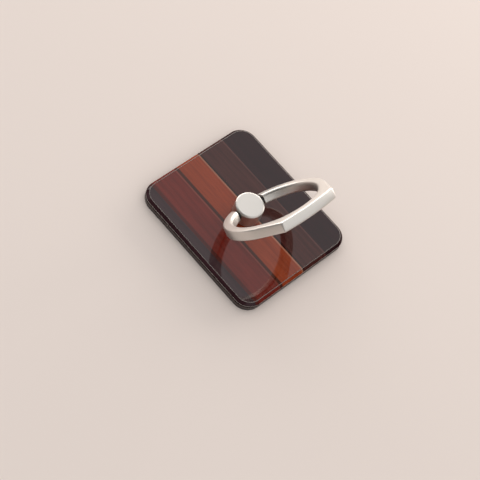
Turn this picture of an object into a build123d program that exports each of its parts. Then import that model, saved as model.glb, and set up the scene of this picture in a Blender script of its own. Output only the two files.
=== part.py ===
from build123d import *
import math
import os

# Phone ring holder: a small rounded plate that sticks to a flat back, with a swivelling hub
# and a tilting finger ring that also serves as a prop.
# Millimetres. The origin is the middle of the sticky face, +Z points out of the plate,
# +Y runs along the plate's length and +X along the hinge of the ring.

# Plate outline and the layers of the plate, from the sticky face upwards
PLATE_WIDTH = 35.5
PLATE_LENGTH = 40.5
PLATE_CORNER_RADIUS = 4.3
PAD_THICKNESS = 0.5
PAD_INSET = 0.2
BASE_THICKNESS = 1.2
BASE_EDGE_CHAMFER = 0.2
STRIP_THICKNESS = 0.3
STRIP_INSET = 0.2
COVER_LAND = 0.2
COVER_CHAMFER = 0.8

# Wood inlay: a narrow first strip, three full strips, and a last one that takes up the rest
FIRST_STRIP_WIDTH = 3.55
STRIP_PITCH = 7.9
FULL_STRIPS = 3
LINE_WIDTH = 0.4

# Hub, its neck through the plate and the tail riveted under the plate
HEAD_DIAMETER = 7.4
HEAD_HEIGHT = 4.37
HEAD_RIM_RADIUS = 0.55
NECK_DIAMETER = 3.8
TAIL_DIAMETER = 5.6
TAIL_THICKNESS = 0.3
TAIL_CLEARANCE = 0.1
RECESS_MARGIN = 0.6

# Bush in the plate, and the disc spring that keeps the swivel stiff
BUSH_WALL = 0.4
BUSH_FLANGE_THICKNESS = 0.2
BUSH_FLANGE_INSET = 0.35
BUSH_SEAT_CLEARANCE = 0.02
SPRING_THICKNESS = 0.12
SPRING_HEIGHT = 0.3
SPRING_MARGIN = 0.25

# Hinge: a pin across the hub, a washer on each side, and the cut ends of the ring
PIVOT_DEPTH = 1.6
PIN_DIAMETER = 1.2
PIN_SEAT_DEPTH = 1.2
PIN_SEAT_CLEARANCE = 0.01
PIN_END_CLEARANCE = 0.05
WASHER_DIAMETER = 2.2
WASHER_THICKNESS = 0.6
SPOT_FACE_MARGIN = 0.15
RING_END_GAP = 0.55

# Ring: a round inside, and outside a slightly crowned foot with a slanting flat on each side
RING_INNER_DIAMETER = 21.8
RING_WALL = 2.5
RING_DEPTH = 2.7
RING_INNER_ROUND = 0.7
RING_OUTER_ROUND = 0.4
FOOT_EXTRA = 0.35
FOOT_CROWN = 0.85
FOOT_ANGLE = 62.5
FOOT_CORNER_RADIUS = 1.0
REST_TILT = 54.0

# Clearance between turning pieces, along the axis and across it
RUN_CLEARANCE = 0.03

# Levels worked out from the layers
pad_top = PAD_THICKNESS
base_top = pad_top + BASE_THICKNESS
strip_top = base_top + STRIP_THICKNESS
plate_top = strip_top + COVER_LAND + COVER_CHAMFER
tail_bottom = pad_top + TAIL_CLEARANCE
tail_top = tail_bottom + TAIL_THICKNESS
recess_top = tail_top + SPRING_HEIGHT + 2 * RUN_CLEARANCE
head_bottom = plate_top + BUSH_FLANGE_THICKNESS + RUN_CLEARANCE
head_top = head_bottom + HEAD_HEIGHT
pivot_level = head_top - PIVOT_DEPTH

# Radii and hinge places worked out from the fits
head_radius = HEAD_DIAMETER / 2
neck_radius = NECK_DIAMETER / 2
recess_radius = TAIL_DIAMETER / 2 + RECESS_MARGIN
bush_bore_radius = neck_radius + RUN_CLEARANCE
bush_radius = bush_bore_radius + BUSH_WALL
plate_hole_radius = bush_radius + BUSH_SEAT_CLEARANCE
pin_radius = PIN_DIAMETER / 2
ring_end = head_radius + RING_END_GAP
spot_face = ring_end - WASHER_THICKNESS - 2 * RUN_CLEARANCE
ring_inner = RING_INNER_DIAMETER / 2
ring_outer = ring_inner + RING_WALL
foot_reach = ring_outer + FOOT_EXTRA

# The pin meets the middle of the ring's band at the cut ends
band_inner = math.sqrt(ring_inner**2 - ring_end**2)
band_outer = math.sqrt(ring_outer**2 - ring_end**2)
pivot_reach = (band_inner + band_outer) / 2


def outline(inset):
    """The plate's rounded outline, drawn in by an even inset."""
    width = PLATE_WIDTH - 2 * inset
    length = PLATE_LENGTH - 2 * inset
    return RectangleRounded(width, length, PLATE_CORNER_RADIUS - inset)


def layer(inset, bottom, top):
    """One layer of the plate between two levels."""
    return Pos(0, 0, bottom) * extrude(outline(inset), top - bottom)


def disc(radius, bottom, top):
    """A round solid on the swivel axis between two levels."""
    return Pos(0, 0, (bottom + top) / 2) * Cylinder(radius, top - bottom)


def bar(radius, start, end):
    """A round solid on the hinge axis between two places along X."""
    middle = Pos((start + end) / 2, 0, pivot_level)
    return middle * Rot(0, 90, 0) * Cylinder(radius, end - start)


def adhesive_pad():
    """Foam pad, sticky on both faces, that grips the phone's back."""
    return layer(PAD_INSET, 0, pad_top)


def base_plate():
    """Moulded plate with a recess below for the riveted tail and its spring."""
    plate = layer(0, pad_top, base_top)
    plate = chamfer(plate.faces().sort_by(Axis.Z)[0].edges(), BASE_EDGE_CHAMFER)
    plate -= disc(recess_radius, pad_top, recess_top)
    return plate - disc(plate_hole_radius, recess_top, base_top)


def seam(index):
    """Place along X of the seam after the strip with this number, counted from one."""
    left_edge = STRIP_INSET - PLATE_WIDTH / 2
    return left_edge + FIRST_STRIP_WIDTH + (index - 1) * STRIP_PITCH


def inlay_band(left, right):
    """Piece of the inlay layer between two places along X, with the hole for the bush."""
    band = Box(right - left, PLATE_LENGTH, STRIP_THICKNESS)
    band = Pos((left + right) / 2, 0, base_top + STRIP_THICKNESS / 2) * band
    sheet = layer(STRIP_INSET, base_top, strip_top)
    return (sheet & band) - disc(plate_hole_radius, base_top, strip_top)


def wood_strip(index):
    """Strip of stained wood; every seam but the first has a thin line beside it."""
    half_line = LINE_WIDTH / 2
    left = -PLATE_WIDTH / 2
    right = PLATE_WIDTH / 2
    if index > 1:
        left = seam(index - 1) + (half_line if index > 2 else 0)
    if index <= FULL_STRIPS + 1:
        right = seam(index) - (half_line if index > 1 else 0)
    return inlay_band(left, right)


def inlay_line(index):
    """Thin line of wood set in the seam between two strips."""
    middle = seam(index + 1)
    return inlay_band(middle - LINE_WIDTH / 2, middle + LINE_WIDTH / 2)


def clear_cover():
    """Clear tile over the inlay, with its top edge cut at a slant."""
    tile = layer(0, strip_top, plate_top)
    tile = chamfer(tile.faces().sort_by(Axis.Z)[-1].edges(), COVER_CHAMFER)
    return tile - disc(plate_hole_radius, strip_top, plate_top)


def swivel_bush():
    """Plain bush with a thin flange that carries the head of the hub."""
    bush = disc(bush_radius, recess_top, plate_top)
    bush += disc(head_radius - BUSH_FLANGE_INSET, plate_top, plate_top + BUSH_FLANGE_THICKNESS)
    return bush - disc(bush_bore_radius, recess_top, head_bottom)


def disc_spring():
    """Coned spring washer between the plate and the riveted tail."""
    inner = bush_bore_radius
    outer = recess_radius - SPRING_MARGIN
    bottom = tail_top + RUN_CLEARANCE
    top = bottom + SPRING_HEIGHT
    section = Polyline(
        (inner, 0, bottom),
        (inner, 0, bottom + SPRING_THICKNESS),
        (outer, 0, top),
        (outer, 0, top - SPRING_THICKNESS),
        close=True,
    )
    return revolve(make_face(section), Axis.Z)


def hub_post():
    """Turned hub: round head with a cross bore, neck, and the tail riveted below."""
    head = disc(head_radius, head_bottom, head_top)
    head = fillet(head.faces().sort_by(Axis.Z)[-1].edges(), HEAD_RIM_RADIUS)
    post = head + disc(neck_radius, tail_top, head_bottom)
    post += disc(TAIL_DIAMETER / 2, tail_bottom, tail_top)
    post -= bar(pin_radius + RUN_CLEARANCE, -head_radius, head_radius)
    facing_radius = WASHER_DIAMETER / 2 + SPOT_FACE_MARGIN
    for start, end in ((spot_face, ring_end), (-ring_end, -spot_face)):
        post -= bar(facing_radius, start, end)
    return post


def hinge_washer(side):
    """Thin washer between the hub and one cut end of the ring."""
    inner_face = spot_face + RUN_CLEARANCE
    outer_face = inner_face + WASHER_THICKNESS
    start, end = sorted((side * inner_face, side * outer_face))
    washer = bar(WASHER_DIAMETER / 2, start, end)
    return washer - bar(pin_radius + RUN_CLEARANCE, start, end)


def hinge_pin():
    """Steel pin across the hub, seated in both ends of the ring."""
    reach = ring_end + PIN_SEAT_DEPTH - PIN_END_CLEARANCE
    return bar(pin_radius, -reach, reach)


def foot_outline():
    """Crowned foot at the ring's far side, between flats that leave the circle at a tangent."""
    angle = math.radians(FOOT_ANGLE)
    tangent_x = ring_outer * math.sin(angle)
    tangent_y = ring_outer * math.cos(angle)
    corner_y = foot_reach - FOOT_CROWN
    corner_x = (ring_outer - corner_y * math.cos(angle)) / math.sin(angle)
    right = Polyline((0, 0), (tangent_x, tangent_y), (corner_x, corner_y))
    crown = ThreePointArc((corner_x, corner_y), (0, foot_reach), (-corner_x, corner_y))
    left = Polyline((-corner_x, corner_y), (-tangent_x, tangent_y), (0, 0))
    return make_face(right + crown + left)


def flat_ring():
    """The ring lying in XY, centred on the origin, before it is tilted into place."""
    profile = Circle(ring_outer) + foot_outline()
    profile = fillet(profile.vertices().group_by(Axis.Y)[-1], FOOT_CORNER_RADIUS)
    band = extrude(profile, RING_DEPTH / 2, both=True)
    rims = band.faces().filter_by(Axis.Z).edges()
    band = fillet(rims, min(RING_OUTER_ROUND, RING_DEPTH / 3))
    band -= Cylinder(ring_inner, RING_DEPTH)
    bore_rims = [edge for edge in band.edges().filter_by(GeomType.CIRCLE)
                 if abs(edge.radius - ring_inner) < PIN_SEAT_CLEARANCE]
    band = fillet(bore_rims, min(RING_INNER_ROUND, RING_DEPTH / 3))
    opening = Pos(0, -ring_outer, 0) * Box(2 * ring_end, 2 * ring_outer, RING_DEPTH)
    return band - opening


def finger_ring():
    """The ring tilted about the hinge pin, with a blind seat for the pin in each end."""
    tilt = math.radians(REST_TILT)
    tilted = Plane(
        origin=(0, 0, pivot_level),
        x_dir=(1, 0, 0),
        z_dir=(0, -math.sin(tilt), -math.cos(tilt)),
    )
    ring = tilted * (Pos(0, pivot_reach, 0) * flat_ring())
    seat_end = ring_end + PIN_SEAT_DEPTH
    return ring - bar(pin_radius + PIN_SEAT_CLEARANCE, -seat_end, seat_end)


def all_pieces():
    """Every piece by name, in the order in which they stack up."""
    pieces = {"adhesive_pad": adhesive_pad(), "base_plate": base_plate()}
    for index in range(1, FULL_STRIPS + 3):
        pieces[f"wood_strip_{index}"] = wood_strip(index)
    for index in range(1, FULL_STRIPS + 1):
        pieces[f"inlay_line_{index}"] = inlay_line(index)
    pieces["clear_cover"] = clear_cover()
    pieces["swivel_bush"] = swivel_bush()
    pieces["disc_spring"] = disc_spring()
    pieces["hub_post"] = hub_post()
    pieces["hinge_washer_left"] = hinge_washer(-1)
    pieces["hinge_washer_right"] = hinge_washer(1)
    pieces["hinge_pin"] = hinge_pin()
    pieces["finger_ring"] = finger_ring()
    return pieces


os.makedirs("parts", exist_ok=True)
for node, solid in all_pieces().items():
    export_step(solid, f"parts/{node}.step")
print(f"pivot level {pivot_level:.2f}, pivot to ring centre {pivot_reach:.2f}, head top {head_top:.2f}")
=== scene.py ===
# %% [markdown]
# A phone ring holder: a small glossy plate with a wood-strip inlay, a satin metal hub in its
# middle, and a finger ring that tilts on the hub and turns with it. The solids come from the
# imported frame, in metres, with the sticky face on the floor. This lesson dresses them.

# %% Load the frame
import math

import bmesh
import bpy
from mathutils import Matrix, Vector


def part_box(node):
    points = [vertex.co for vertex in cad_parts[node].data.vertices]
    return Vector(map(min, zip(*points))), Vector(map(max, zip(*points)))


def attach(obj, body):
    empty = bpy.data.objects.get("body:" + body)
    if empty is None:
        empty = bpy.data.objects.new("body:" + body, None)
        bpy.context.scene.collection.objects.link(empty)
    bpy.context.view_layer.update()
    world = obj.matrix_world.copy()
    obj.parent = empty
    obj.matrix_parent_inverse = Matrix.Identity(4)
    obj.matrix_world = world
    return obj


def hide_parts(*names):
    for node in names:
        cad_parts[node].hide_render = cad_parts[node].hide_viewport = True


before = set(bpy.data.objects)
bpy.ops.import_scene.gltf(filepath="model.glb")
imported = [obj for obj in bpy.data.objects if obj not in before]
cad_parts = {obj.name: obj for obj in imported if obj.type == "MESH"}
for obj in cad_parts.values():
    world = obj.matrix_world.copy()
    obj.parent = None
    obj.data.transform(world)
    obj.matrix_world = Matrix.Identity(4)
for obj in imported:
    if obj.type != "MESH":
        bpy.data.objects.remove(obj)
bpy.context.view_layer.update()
MM = 0.001

# %% [markdown]
# Three small helpers carry the whole lesson. Colours are written as sRGB hex, the way a paint
# chart gives them, and one function turns them to the linear values that a shader wants.
# One adds a node: its settings are properties, and its inputs are values or sockets. One
# starts a material, with what is the same all over its surface set on the shader itself.


# %% Colours, nodes and materials
def linear(code):
    """An sRGB hex colour such as a0522d as linear red, green, blue and alpha."""
    channels = [int(code[i:i + 2], 16) / 255 for i in (0, 2, 4)]
    curve = [c / 12.92 if c <= 0.04045 else ((c + 0.055) / 1.055) ** 2.4 for c in channels]
    return (*curve, 1.0)


def add(tree, kind, inputs=None, **settings):
    """One node in the tree, with its properties set and its inputs filled or linked."""
    node = tree.nodes.new(kind)
    for name, value in settings.items():
        setattr(node, name, value)
    for key, value in (inputs or {}).items():
        if isinstance(value, bpy.types.NodeSocket):
            tree.links.new(value, node.inputs[key])
        else:
            node.inputs[key].default_value = value
    return node


def finish(name, constants):
    """A new material, its tree and its shader, with these constants on the shader's sockets."""
    material = bpy.data.materials.new(name)
    material.use_nodes = True
    shader = material.node_tree.nodes["Principled BSDF"]
    for key, value in constants.items():
        shader.inputs[key].default_value = value
    return material, material.node_tree, shader


def per_metre(size_mm):
    """Texture scale, in features per metre, for a feature of this size in millimetres."""
    return 1 / (size_mm * MM)


print("orange brown, linear:", [round(c, 3) for c in linear("963012")])

# %% [markdown]
# The camera stands where the photograph was taken: above the plate's left front, looking down
# steeply, and rolled so that the plate lies cornerwise in the picture. A long lens keeps the
# sides of the plate nearly parallel. The lens comes from the focal length in picture pixels.

# %% Camera
AIM_MM = (-4.46, -3.82, 0.0)
AZIMUTH = -64.75
ELEVATION = 57.69
ROLL = 26.33
DISTANCE_MM = 379.6
FOCAL_PX = 1544.2
PICTURE_PX = 480
SENSOR_MM = 36.0

turn, rise, roll = (math.radians(angle) for angle in (AZIMUTH, ELEVATION, ROLL))
ahead = Vector((-math.sin(turn) * math.cos(rise), math.cos(turn) * math.cos(rise), -math.sin(rise)))
level = ahead.cross(Vector((0, 0, 1))).normalized()
upright = level.cross(ahead)
right = math.cos(roll) * level + math.sin(roll) * upright
up = math.cos(roll) * upright - math.sin(roll) * level
camera_data = bpy.data.cameras.new("photo_camera")
camera_data.sensor_width = SENSOR_MM
camera_data.lens = FOCAL_PX * SENSOR_MM / PICTURE_PX
camera_data.clip_start = MM
camera = bpy.data.objects.new("photo_camera", camera_data)
bpy.context.scene.collection.objects.link(camera)
pose = Matrix((right, up, -ahead)).transposed().to_4x4()
pose.translation = MM * (Vector(AIM_MM) - DISTANCE_MM * ahead)
camera.matrix_world = pose
bpy.context.scene.camera = camera
print("lens", round(camera_data.lens, 1), "mm, camera at", [round(v / MM) for v in pose.translation])

# %% [markdown]
# The floor is a plain pale card with a trace of warmth, wide enough to fill every view.

# %% Floor
FLOOR_SIZE_MM = 3000.0
FLOOR_COLOUR = "ecdfd7"

half = FLOOR_SIZE_MM * MM / 2
corners = [(-half, -half, 0), (half, -half, 0), (half, half, 0), (-half, half, 0)]
floor_mesh = bpy.data.meshes.new("floor")
floor_mesh.from_pydata(corners, [], [(0, 1, 2, 3)])
floor = bpy.data.objects.new("floor", floor_mesh)
bpy.context.scene.collection.objects.link(floor)
card, _, _ = finish("matt pale card", {
    "Base Color": linear(FLOOR_COLOUR), "Roughness": 0.9, "Specular IOR Level": 0.2})
floor_mesh.materials.append(card)
print("floor", FLOOR_SIZE_MM, "mm square")

# %% [markdown]
# The studio has a white ceiling over dark walls, and a black flag hangs at the upper left, as
# photographers use for shiny things. The plate mirrors the ceiling as a thin milky veil over
# the dark wood, and the ring's underside, which faces the walls, as a dark arc. The flag
# keeps the bevel and the foot of the hub dark. Light that only scatters doesn't need such a
# picture, so it gets an even level. Two low soft boxes, one at the right and one at the rear,
# give the metal its bright side and pull the soft shadow to the left front.

# %% Dome and soft boxes
DOME_DIFFUSE = 0.75
WALL = 0.02
CEILING = 1.05
# Edges are cosines of the angle from straight up, and from the middle of the flag.
WALL_TOP = 0.1
CEILING_EDGE = 0.38
FLAG_SIDE = (-0.68, 0.0, 0.73)
FLAG_SHARE = 0.03
FLAG_EDGE = 0.7
FLAG_HEART = 0.85

world = bpy.data.worlds.new("white studio")
bpy.context.scene.world = world
world.use_nodes = True
tree = world.node_tree
path = add(tree, "ShaderNodeLightPath")
look = add(tree, "ShaderNodeTexCoord").outputs["Generated"]
height = add(tree, "ShaderNodeSeparateXYZ", {0: look})
ceiling = add(tree, "ShaderNodeMapRange", {
    "Value": height.outputs["Z"], "From Min": WALL_TOP, "From Max": CEILING_EDGE,
    "To Min": WALL, "To Max": CEILING})
aside = add(tree, "ShaderNodeVectorMath", {0: look, 1: FLAG_SIDE}, operation="DOT_PRODUCT")
flag = add(tree, "ShaderNodeMapRange", {
    "Value": aside.outputs["Value"], "From Min": FLAG_EDGE, "From Max": FLAG_HEART,
    "To Min": 1.0, "To Max": FLAG_SHARE})
studio = add(tree, "ShaderNodeMath", {
    0: ceiling.outputs["Result"], 1: flag.outputs["Result"]}, operation="MULTIPLY")
shown = add(tree, "ShaderNodeMath", {
    0: path.outputs["Is Glossy Ray"], 1: path.outputs["Is Transmission Ray"]}, operation="MAXIMUM")
plain = add(tree, "ShaderNodeMapRange", {
    "Value": path.outputs["Is Camera Ray"], "To Min": DOME_DIFFUSE, "To Max": 1.0})
strength = add(tree, "ShaderNodeMix", {
    "Factor": shown.outputs[0], "A": plain.outputs["Result"], "B": studio.outputs[0]})
sky = tree.nodes["Background"]
sky.inputs["Color"].default_value = linear("ffffff")
tree.links.new(strength.outputs["Result"], sky.inputs["Strength"])


def lamp(name, place_mm, wide_mm, high_mm, watts, colour):
    """An upright soft box that faces the hub."""
    data = bpy.data.lights.new(name, "AREA")
    data.shape = "RECTANGLE"
    data.size = wide_mm * MM
    data.size_y = high_mm * MM
    data.energy = watts
    data.color = linear(colour)[:3]
    piece = bpy.data.objects.new(name, data)
    piece.location = MM * Vector(place_mm)
    piece.rotation_euler = (-piece.location).to_track_quat("-Z", "Y").to_euler()
    bpy.context.scene.collection.objects.link(piece)


lamp("right_lamp", (500, 25, 90), wide_mm=520, high_mm=160, watts=1.9, colour="fff8f2")
lamp("rear_lamp", (320, 640, 90), wide_mm=800, high_mm=170, watts=3.2, colour="fffaf6")
bpy.context.scene.view_settings.view_transform = "Standard"
print("walls", WALL, "ceiling", CEILING, "flag", FLAG_SHARE, "and two soft boxes")

# %% [markdown]
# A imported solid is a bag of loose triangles, so its roundings show every facet. For what
# catches the light, a twin of the node is made: the triangles are joined, flat faces are
# made whole, edges sharper than a limit stay crisp, and weighted normals keep flats flat.
# A twin can also have its sharp edges broken, with its last material on the broken edge.

# %% Smooth twins of solids
SHARP_ANGLE = 38.0
JOIN_MM = 0.0005
FLAT_ANGLE = 0.5


def settle(piece, body, node):
    """Bakes the modifiers into the mesh and sets the piece on its body in place of the node."""
    baked = bpy.data.meshes.new_from_object(piece.evaluated_get(bpy.context.evaluated_depsgraph_get()))
    piece.modifiers.clear()
    piece.data = baked
    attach(piece, body)
    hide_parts(node)
    print(piece.name, len(baked.polygons), "faces for", node)


def whole_copy(node, materials):
    """A copy of a CAD node's mesh with its triangles joined, its flats whole and these materials."""
    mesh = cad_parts[node].data.copy()
    joined = bmesh.new()
    joined.from_mesh(mesh)
    bmesh.ops.remove_doubles(joined, verts=joined.verts, dist=JOIN_MM * MM)
    bmesh.ops.dissolve_limit(
        joined, angle_limit=math.radians(FLAT_ANGLE), verts=joined.verts, edges=joined.edges)
    joined.to_mesh(mesh)
    joined.free()
    mesh.materials.clear()
    for material in materials:
        mesh.materials.append(material)
    return mesh


def smooth_twin(node, body, mesh, edge_mm=0.0):
    """Shades a whole copy smoothly and sets it in the place of its CAD node."""
    mesh.shade_smooth()
    mesh.set_sharp_from_angle(angle=math.radians(SHARP_ANGLE))
    piece = bpy.data.objects.new(node + "_smooth", mesh)
    bpy.context.scene.collection.objects.link(piece)
    if edge_mm:
        broken = piece.modifiers.new("broken edge", "BEVEL")
        broken.width = edge_mm * MM
        broken.segments = 2
        broken.limit_method = "ANGLE"
        broken.angle_limit = math.radians(SHARP_ANGLE)
        broken.material = len(mesh.materials) - 1
    piece.modifiers.new("weighted", "WEIGHTED_NORMAL").keep_sharp = True
    settle(piece, body, node)
    return piece


def dress(node, material):
    """Gives a CAD node this one material in place of its packed one."""
    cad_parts[node].data.materials.clear()
    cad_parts[node].data.materials.append(material)


# %% [markdown]
# Under the wood lies a dark moulded plate, on a foam pad that sticks it down. Both show only
# as a dark line along the lower edge. One function serves plain materials such as these: an
# even fine grain, in the colour and in the surface.


# %% Plate and pad
# Noise seldom leaves this range, so its whole contrast lies between these values.
NOISE_LOW = 0.3
NOISE_HIGH = 0.7
GRAIN_DARK = 0.8
GRAIN_LIGHT = 1.1


def grained(name, colour, grain_mm, bump_mm, constants):
    """A plain material with an even fine grain in its colour and its surface."""
    material, tree, shader = finish(name, constants)
    place = add(tree, "ShaderNodeTexCoord").outputs["Object"]
    grain = add(tree, "ShaderNodeTexNoise", {"Vector": place, "Scale": per_metre(grain_mm), "Detail": 3.0})
    level = add(tree, "ShaderNodeMapRange", {
        "Value": grain.outputs["Fac"], "From Min": NOISE_LOW, "From Max": NOISE_HIGH,
        "To Min": GRAIN_DARK, "To Max": GRAIN_LIGHT})
    shade = add(tree, "ShaderNodeVectorMath", {
        0: linear(colour)[:3], "Scale": level.outputs["Result"]}, operation="SCALE")
    bump = add(tree, "ShaderNodeBump", {
        "Height": grain.outputs["Fac"], "Strength": 0.3, "Distance": bump_mm * MM})
    tree.links.new(shade.outputs["Vector"], shader.inputs["Base Color"])
    tree.links.new(bump.outputs["Normal"], shader.inputs["Normal"])
    return material


# A moulded skin shines a little; closed-cell foam is quite dull.
moulded = grained("moulded dark ABS", "2c1a16", grain_mm=0.15, bump_mm=0.01, constants={"Roughness": 0.35})
foam = grained("closed-cell foam", "26262a", grain_mm=0.2, bump_mm=0.04, constants={"Roughness": 0.85})
smooth_twin("base_plate", "base", whole_copy("base_plate", [moulded]))
dress("adhesive_pad", foam)

# %% [markdown]
# The wood strips are stained veneer under the clear tile: colours from near black to orange
# brown, with a fine grain that runs along the strips. Stretched noise draws the grain: wide
# soft bands first, then thin pores, which are drawn a little wider than real ones so that
# they show. Some strips have a dark joint at the left edge, drawn from the place across the
# plate. The veneer and the tile are bonded, so no light is lost where they meet, and the wood
# has no shine of its own. The gloss seen over it is that of the tile's polished top. It is
# laid on the wood as a clear coat, with a faint polishing wave: a renderer shares its rays
# well between a coat and the stain below it, and the mirror image of the ring stays clean.


# %% Stained veneer
ACRYLIC_IOR = 1.49
BAND_MM = 0.9
RUN_MM = 16.0
PORE_MM = 0.18
PORE_RUN_MM = 4.0
PORE_EDGE = 0.45
PORE_SHADE = 0.8
JOINT_BLUR_MM = 0.15
WAVE_MM = 6.0
WAVE_DEPTH_MM = 0.02


def stained_veneer(name, light, dark, joint, gloss):
    """Straight-grained veneer: soft bands between two stains, pores, a dark joint, a gloss coat."""
    material, tree, shader = finish(name, {
        "Roughness": 0.6, "Specular IOR Level": 0.0,
        "Coat Weight": gloss, "Coat Roughness": 0.02, "Coat IOR": ACRYLIC_IOR})
    place = add(tree, "ShaderNodeTexCoord").outputs["Object"]
    along = add(tree, "ShaderNodeMapping", {
        "Vector": place, "Scale": (per_metre(BAND_MM), per_metre(RUN_MM), per_metre(RUN_MM))})
    streaks = add(tree, "ShaderNodeTexNoise", {
        "Vector": along.outputs["Vector"], "Scale": 1.0, "Detail": 4.0})
    thin = add(tree, "ShaderNodeMapping", {
        "Vector": place, "Scale": (per_metre(PORE_MM), per_metre(PORE_RUN_MM), per_metre(RUN_MM))})
    pores = add(tree, "ShaderNodeTexNoise", {"Vector": thin.outputs["Vector"], "Scale": 1.0, "Detail": 2.0})
    stain = add(tree, "ShaderNodeValToRGB", {"Fac": streaks.outputs["Fac"]})
    stain.color_ramp.elements[0].position = NOISE_LOW
    stain.color_ramp.elements[0].color = linear(dark)
    stain.color_ramp.elements[1].position = NOISE_HIGH
    stain.color_ramp.elements[1].color = linear(light)
    depth = add(tree, "ShaderNodeMapRange", {
        "Value": pores.outputs["Fac"], "From Min": NOISE_LOW, "From Max": PORE_EDGE,
        "To Min": PORE_SHADE, "To Max": 1.0})
    left_mm, wide_mm, share = joint
    across = add(tree, "ShaderNodeSeparateXYZ", {0: place})
    edge = add(tree, "ShaderNodeMapRange", {
        "Value": across.outputs["X"], "From Min": (left_mm + wide_mm - JOINT_BLUR_MM) * MM,
        "From Max": (left_mm + wide_mm + JOINT_BLUR_MM) * MM, "To Min": share, "To Max": 1.0})
    level = add(tree, "ShaderNodeMath", {
        0: depth.outputs["Result"], 1: edge.outputs["Result"]}, operation="MULTIPLY")
    shade = add(tree, "ShaderNodeVectorMath", {
        0: stain.outputs["Color"], "Scale": level.outputs[0]}, operation="SCALE")
    tree.links.new(shade.outputs["Vector"], shader.inputs["Base Color"])
    waves = add(tree, "ShaderNodeTexNoise", {"Vector": place, "Scale": per_metre(WAVE_MM), "Detail": 1.0})
    skin = add(tree, "ShaderNodeBump", {
        "Height": waves.outputs["Fac"], "Strength": 0.1, "Distance": WAVE_DEPTH_MM * MM})
    tree.links.new(skin.outputs["Normal"], shader.inputs["Coat Normal"])
    return material


# For each node: the name of its veneer, and the lighter and the darker stain in its grain.
STAINS = {
    "wood_strip_1": ("charcoal veneer", "3a2428", "2c1a1d"),
    "wood_strip_2": ("mahogany veneer", "6c2118", "5a180f"),
    "wood_strip_3": ("orange brown veneer", "8c391a", "782d13"),
    "wood_strip_4": ("dark brown veneer", "47211d", "381713"),
    "wood_strip_5": ("ebony veneer", "2c0f12", "210a0d"),
    "inlay_line_1": ("red line veneer", "76362c", "6a2c22"),
    "inlay_line_2": ("pale line veneer", "9c6650", "885440"),
    "inlay_line_3": ("tan line veneer", "573430", "482824"),
}
# Width of the dark joint at a strip's left edge, and the share of the stain left in it.
JOINTS = {"wood_strip_2": (0.9, 0.5), "wood_strip_3": (0.85, 0.2), "wood_strip_4": (0.5, 0.4)}
# Seen at a slant through the tile, the seams seem to lie this much further over.
SEAM_SHIFT_MM = -0.5
TOP_GLOSS = 1.0

seams = {node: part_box(node)[0].x / MM + SEAM_SHIFT_MM for node in STAINS}
joints = {node: (seams[node], *JOINTS.get(node, (0.0, 1.0))) for node in STAINS}
veneers = {
    node: stained_veneer(name, light, dark, joints[node], TOP_GLOSS)
    for node, (name, light, dark) in STAINS.items()
}
for node, veneer in veneers.items():
    dress(node, veneer)
print("veneers", len(veneers))

# %% [markdown]
# The clear tile is polished acrylic with a slanted edge. Through the top and the slant the
# wood shows as if it lay in the surface, so these faces are cut along the seams, and each
# band takes the coated veneer under it. The upright land below the slant is clear, with a
# refractive index of 1.49. The edges of the slant are broken by a hair and given a pale colour
# that scatters light: a painted highlight for the glint along each edge, which shows as a thin
# pale line. The underside is let into the wood by a hair, because two faces at one level would
# flicker.


# %% Clear tile
def polished_acrylic(name, rub_mm):
    """Clear cast acrylic that bends the light, with a trace of polishing haze."""
    material, tree, shader = finish(name, {"IOR": ACRYLIC_IOR, "Transmission Weight": 1.0})
    place = add(tree, "ShaderNodeTexCoord").outputs["Object"]
    rub = add(tree, "ShaderNodeTexNoise", {"Vector": place, "Scale": per_metre(rub_mm), "Detail": 2.0})
    haze = add(tree, "ShaderNodeMapRange", {"Value": rub.outputs["Fac"], "To Min": 0.02, "To Max": 0.1})
    tree.links.new(haze.outputs["Result"], shader.inputs["Roughness"])
    return material


def highlight_edge_acrylic(name, colour, speckle_mm):
    """A pale acrylic edge that scatters light; its pale colour is a painted highlight for the glint along
    an edge.
    """
    material, tree, shader = finish(name, {
        "Base Color": linear(colour), "IOR": ACRYLIC_IOR, "Transmission Weight": 0.8})
    place = add(tree, "ShaderNodeTexCoord").outputs["Object"]
    speckle = add(tree, "ShaderNodeTexNoise", {"Vector": place, "Scale": per_metre(speckle_mm), "Detail": 3.0})
    scatter = add(tree, "ShaderNodeMapRange", {"Value": speckle.outputs["Fac"], "To Min": 0.4, "To Max": 0.8})
    tree.links.new(scatter.outputs["Result"], shader.inputs["Roughness"])
    return material


BOND_MM = 0.02
BROKEN_EDGE_MM = 0.09
# The slant was ground and only lightly polished, so its gloss is weaker than that of the top.
SLANT_GLOSS = 0.3
# Heights of a face's normal: above the first it looks upwards, above the second it is level.
UPWARD = 0.5
LEVEL = 0.9

acrylic = polished_acrylic("polished acrylic", rub_mm=3.0)
# The pale colour of the slant's broken edges is a painted highlight, for the glint along each edge.
edge_highlight = highlight_edge_acrylic("acrylic edge with painted highlight", "e6d8cf", speckle_mm=0.3)
slanted = {
    node: stained_veneer(name + " under the slant", light, dark, joints[node], SLANT_GLOSS)
    for node, (name, light, dark) in STAINS.items()
}
bands = sorted(seams, key=seams.get)
starts = [seams[node] * MM for node in bands]
wood = [finishes[node] for finishes in (veneers, slanted) for node in bands]
tile = whole_copy("clear_cover", [acrylic, *wood, edge_highlight])
tile_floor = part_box("clear_cover")[0].z


def upper_faces(mesh):
    """The faces of a bmesh that look upwards: the tile's flat top and its slanted edge."""
    return [face for face in mesh.faces if face.normal.z > UPWARD]


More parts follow.
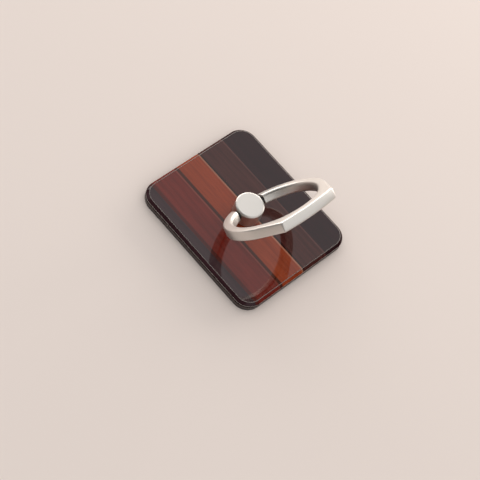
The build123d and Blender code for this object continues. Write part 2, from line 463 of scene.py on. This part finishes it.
cut = bmesh.new()
cut.from_mesh(tile)
for start in starts[1:]:
    faces = upper_faces(cut)
    lines = {line for face in faces for line in face.edges}
    points = {point for face in faces for point in face.verts}
    bmesh.ops.bisect_plane(
        cut, geom=[*faces, *lines, *points], dist=JOIN_MM * MM,
        plane_co=(start, 0, 0), plane_no=(1, 0, 0))
for face in upper_faces(cut):
    middle = face.calc_center_bounds().x
    on_slant = face.normal.z < LEVEL
    face.material_index = sum(start < middle for start in starts) + len(bands) * on_slant
print("faces that show the wood", len(upper_faces(cut)))
cut.to_mesh(tile)
cut.free()
tile = smooth_twin("clear_cover", "base", tile, BROKEN_EDGE_MM).data
for vertex in tile.vertices:
    if vertex.co.z < tile_floor + BOND_MM * MM / 2:
        vertex.co.z -= BOND_MM * MM

# %% [markdown]
# The hub and the ring are a zinc casting, bead-blasted and nickel plated. The blasting leaves
# pits of a few hundredths of a millimetre that blur the reflections. They are drawn coarser,
# because finer ones would vanish. Roughness and bump both follow the pits. The washers beside
# the hub are black acetal, and their black also serves as painted shade: it gives the thin
# dark gaps of shade between the hub and the ring's ends.


# %% Hub and washers
def satin_nickel(name, colour, pit_mm, roughness, spread, bump_mm):
    """Plated metal with a fine even blast: silvery, with soft edges to its reflections."""
    material, tree, shader = finish(name, {"Base Color": linear(colour), "Metallic": 1.0})
    place = add(tree, "ShaderNodeTexCoord").outputs["Object"]
    pits = add(tree, "ShaderNodeTexNoise", {"Vector": place, "Scale": per_metre(pit_mm), "Detail": 3.0})
    rough = add(tree, "ShaderNodeMapRange", {
        "Value": pits.outputs["Fac"], "From Min": NOISE_LOW, "From Max": NOISE_HIGH,
        "To Min": roughness - spread, "To Max": roughness + spread})
    bump = add(tree, "ShaderNodeBump", {
        "Height": pits.outputs["Fac"], "Strength": 0.1, "Distance": bump_mm * MM})
    tree.links.new(rough.outputs["Result"], shader.inputs["Roughness"])
    tree.links.new(bump.outputs["Normal"], shader.inputs["Normal"])
    return material


# Satin nickel is silvery and blurs what it mirrors; turned acetal is black with a dull sheen. On the
# washers its black is also painted shade, for the dark gaps beside the hub.
nickel = satin_nickel(
    "satin nickel plate", "d4cfc9", pit_mm=0.3, roughness=0.4, spread=0.03, bump_mm=0.001)
acetal_and_gap_shade = grained(
    "turned black acetal", "0c0c0d", grain_mm=0.1, bump_mm=0.005, constants={"Roughness": 0.45})
smooth_twin("hub_post", "hub", whole_copy("hub_post", [nickel]))
# The washers' black is partly painted shade: it gives the thin dark gaps beside the hub.
for node in ("hinge_washer_left", "hinge_washer_right"):
    smooth_twin(node, "hub", whole_copy(node, [acetal_and_gap_shade]))

# %% [markdown]
# The finger ring follows one rule. It is a bar with rounded edges, bent round a finger's
# bore, with a gap for the hub. At its far side the outer face leaves the circle along two
# flats and closes in a gently crowned foot, on which the phone stands. Such a rule is work
# for Geometry Nodes: a straight bar is swept once, and each of its points is then moved to
# its place on the ring. The sizes come first, and from them the values that the rule needs.

# %% Ring sizes
BORE_RADIUS = 10.9
BAND_WALL = 2.5
RING_DEPTH = 2.7
BORE_ROUND = 0.7
RIM_ROUND = 0.4
HALF_GAP = 4.25
FOOT_REACH = 13.75
FOOT_CROWN = 0.85
CORNER_BLEND = 0.25
FLAT_TURN = math.radians(62.5)
HINGE_HEIGHT = 6.0
TILT = math.radians(54.0)

rim_radius = BORE_RADIUS + BAND_WALL
corner_reach = FOOT_REACH - FOOT_CROWN
corner_side = (rim_radius - corner_reach * math.cos(FLAT_TURN)) / math.sin(FLAT_TURN)
crown_radius = (corner_side ** 2 + FOOT_CROWN ** 2) / (2 * FOOT_CROWN)
bore_sweep = math.pi - math.asin(HALF_GAP / BORE_RADIUS)
rim_sweep = math.pi - math.asin(HALF_GAP / rim_radius)
end_reach = [math.sqrt(radius ** 2 - HALF_GAP ** 2) for radius in (BORE_RADIUS, rim_radius)]
hinge_reach = sum(end_reach) / 2
print("crown radius", round(crown_radius, 2), "mm, hinge to ring centre", round(hinge_reach, 2), "mm")

# %% [markdown]
# The rule is written as a table, one line for each step: a name, an operation and its terms,
# which are earlier names, inputs of the tree or plain numbers. A point of the bar knows how
# far along it lies, from -1 to 1, and how far out across the wall. The first gives its turn
# from the foot, and the rim's radius at that turn is the smaller of the flat and the crown.

# %% Ring by Geometry Nodes
RULE = {
    "half": ("MULTIPLY_ADD", "across", "sweep step", "mid sweep"),
    "turn": ("MULTIPLY", "along", "half"),
    "from foot": ("ABSOLUTE", "turn"),
    "to flat": ("SUBTRACT", "Flat Turn", "from foot"),
    "off flat": ("MAXIMUM", "to flat", 0.0),
    "flat cosine": ("COSINE", "off flat"),
    "flat": ("DIVIDE", "Rim Radius", "flat cosine"),
    "sine": ("SINE", "turn"),
    "cosine": ("COSINE", "turn"),
    "crown centre": ("SUBTRACT", "Foot Reach", "Crown Radius"),
    "offset": ("MULTIPLY", "crown centre", "sine"),
    "offset squared": ("MULTIPLY", "offset", "offset"),
    "radius squared": ("MULTIPLY", "Crown Radius", "Crown Radius"),
    "chord squared": ("SUBTRACT", "radius squared", "offset squared"),
    "chord": ("SQRT", "chord squared"),
    "crown": ("MULTIPLY_ADD", "crown centre", "cosine", "chord"),
    "rim": ("SMOOTH_MIN", "flat", "crown", "Corner Blend"),
    "wall": ("SUBTRACT", "rim", "Bore Radius"),
    "share": ("MULTIPLY_ADD", "across", "wall share", 0.5),
    "radius": ("MULTIPLY_ADD", "share", "wall", "Bore Radius"),
    "side": ("MULTIPLY", "radius", "sine"),
    "reach": ("MULTIPLY_ADD", "radius", "cosine", "Hinge Reach"),
}
RING_INPUTS = {
    "Bore Radius": BORE_RADIUS, "Rim Radius": rim_radius, "Depth": RING_DEPTH,
    "Bore Round": BORE_ROUND, "Rim Round": RIM_ROUND, "Bore Sweep": bore_sweep, "Rim Sweep": rim_sweep,
    "Flat Turn": FLAT_TURN, "Foot Reach": FOOT_REACH,
    "Crown Radius": crown_radius, "Corner Blend": CORNER_BLEND,
    "Hinge Reach": hinge_reach, "Hinge Height": HINGE_HEIGHT, "Swing": math.pi - TILT,
}
BAR_STEPS = 420
ROUND_STEPS = 6

tree = bpy.data.node_groups.new("finger ring", "GeometryNodeTree")
tree.interface.new_socket("Geometry", in_out="OUTPUT", socket_type="NodeSocketGeometry")
sockets = {
    name: tree.interface.new_socket(name, in_out="INPUT", socket_type="NodeSocketFloat")
    for name in RING_INPUTS
}
given = add(tree, "NodeGroupInput").outputs
known = {name: given[name] for name in RING_INPUTS}
thick = add(tree, "ShaderNodeMath", {0: known["Rim Radius"], 1: known["Bore Radius"]}, operation="SUBTRACT")
bar = add(tree, "GeometryNodeCurvePrimitiveLine", {"Start": (-1, 0, 0), "End": (1, 0, 0)})
bar = add(tree, "GeometryNodeResampleCurve", {"Curve": bar.outputs["Curve"], "Count": BAR_STEPS})
section = add(tree, "GeometryNodeCurvePrimitiveQuadrilateral", {
    "Width": thick.outputs[0], "Height": known["Depth"]})
spot = add(tree, "ShaderNodeSeparateXYZ", {0: add(tree, "GeometryNodeInputPosition").outputs[0]})
rounds = add(tree, "ShaderNodeMapRange", {
    "Value": spot.outputs["X"], "From Min": -BAND_WALL / 2, "From Max": BAND_WALL / 2,
    "To Min": known["Rim Round"], "To Max": known["Bore Round"]})
section = add(tree, "GeometryNodeFilletCurve", {
    "Curve": section.outputs["Curve"], "Count": ROUND_STEPS, "Radius": rounds.outputs["Result"]},
    mode="POLY")
swept = add(tree, "GeometryNodeCurveToMesh", {
    "Curve": bar.outputs["Curve"], "Profile Curve": section.outputs["Curve"], "Fill Caps": True})

place = add(tree, "ShaderNodeSeparateXYZ", {0: add(tree, "GeometryNodeInputPosition").outputs[0]})
known["along"], known["across"] = place.outputs["X"], place.outputs["Y"]
step = add(tree, "ShaderNodeMath", {0: known["Rim Sweep"], 1: known["Bore Sweep"]}, operation="SUBTRACT")
step = add(tree, "ShaderNodeMath", {0: step.outputs[0], 1: thick.outputs[0]}, operation="DIVIDE")
total = add(tree, "ShaderNodeMath", {0: known["Rim Sweep"], 1: known["Bore Sweep"]}, operation="ADD")
middle = add(tree, "ShaderNodeMath", {0: total.outputs[0], 1: 0.5}, operation="MULTIPLY")
inverse = add(tree, "ShaderNodeMath", {0: 1.0, 1: thick.outputs[0]}, operation="DIVIDE")
known["sweep step"], known["mid sweep"] = step.outputs[0], middle.outputs[0]
known["wall share"] = inverse.outputs[0]
for name, (operation, *terms) in RULE.items():
    inputs = {index: known.get(term, term) for index, term in enumerate(terms)}
    known[name] = add(tree, "ShaderNodeMath", inputs, operation=operation).outputs[0]

flat = add(tree, "ShaderNodeCombineXYZ", {0: known["side"], 1: known["reach"], 2: place.outputs["Z"]})
swung = add(tree, "ShaderNodeVectorRotate", {
    "Vector": flat.outputs[0], "Angle": known["Swing"]}, rotation_type="X_AXIS")
lift = add(tree, "ShaderNodeCombineXYZ", {2: known["Hinge Height"]})
lifted = add(tree, "ShaderNodeVectorMath", {0: swung.outputs[0], 1: lift.outputs[0]}, operation="ADD")
metres = add(tree, "ShaderNodeVectorMath", {0: lifted.outputs[0], "Scale": MM}, operation="SCALE")
bent = add(tree, "GeometryNodeSetPosition", {
    "Geometry": swept.outputs["Mesh"], "Position": metres.outputs[0]})
whole = add(tree, "GeometryNodeRealizeInstances", {"Geometry": bent.outputs["Geometry"]})
plated = add(tree, "GeometryNodeSetMaterial", {"Geometry": whole.outputs["Geometry"], "Material": nickel})
add(tree, "NodeGroupOutput", {"Geometry": plated.outputs["Geometry"]})
print("ring tree", len(tree.nodes), "nodes")

# %% [markdown]
# The tree is run on an empty object. A small bevel breaks the two cut ends beside the hub.
# The bend may have turned the faces inside out, so the normals are made to point outwards.

# %% Ring mesh
END_BREAK_MM = 0.12
END_ANGLE = 60.0

ring = bpy.data.objects.new("ring_band", bpy.data.meshes.new("ring_band"))
bpy.context.scene.collection.objects.link(ring)
rule = ring.modifiers.new("ring rule", "NODES")
rule.node_group = tree
for name, value in RING_INPUTS.items():
    rule[sockets[name].identifier] = value
broken = ring.modifiers.new("broken ends", "BEVEL")
broken.width = END_BREAK_MM * MM
broken.segments = 2
broken.limit_method = "ANGLE"
broken.angle_limit = math.radians(END_ANGLE)
settle(ring, "ring", "finger_ring")
turned = bmesh.new()
turned.from_mesh(ring.data)
bmesh.ops.recalc_face_normals(turned, faces=turned.faces)
turned.to_mesh(ring.data)
print("ring volume", round(turned.calc_volume(signed=True) / MM ** 3, 1), "mm3")
turned.free()
ring.data.shade_smooth()
ring.data.set_sharp_from_angle(angle=math.radians(SHARP_ANGLE))

# %% [markdown]
# What is left hardly shows: the black bush under the hub, and the bright steel of the hinge
# pin and of the spring that gives the swivel its drag.

# %% Bush, pin and spring
# Drawn steel is bright, with a finer blur than the plated castings.
steel = grained(
    "drawn spring steel", "b5b6b8", grain_mm=0.1, bump_mm=0.003,
    constants={"Roughness": 0.28, "Metallic": 1.0})
dress("swivel_bush", acetal_and_gap_shade)
dress("hinge_pin", steel)
dress("disc_spring", steel)
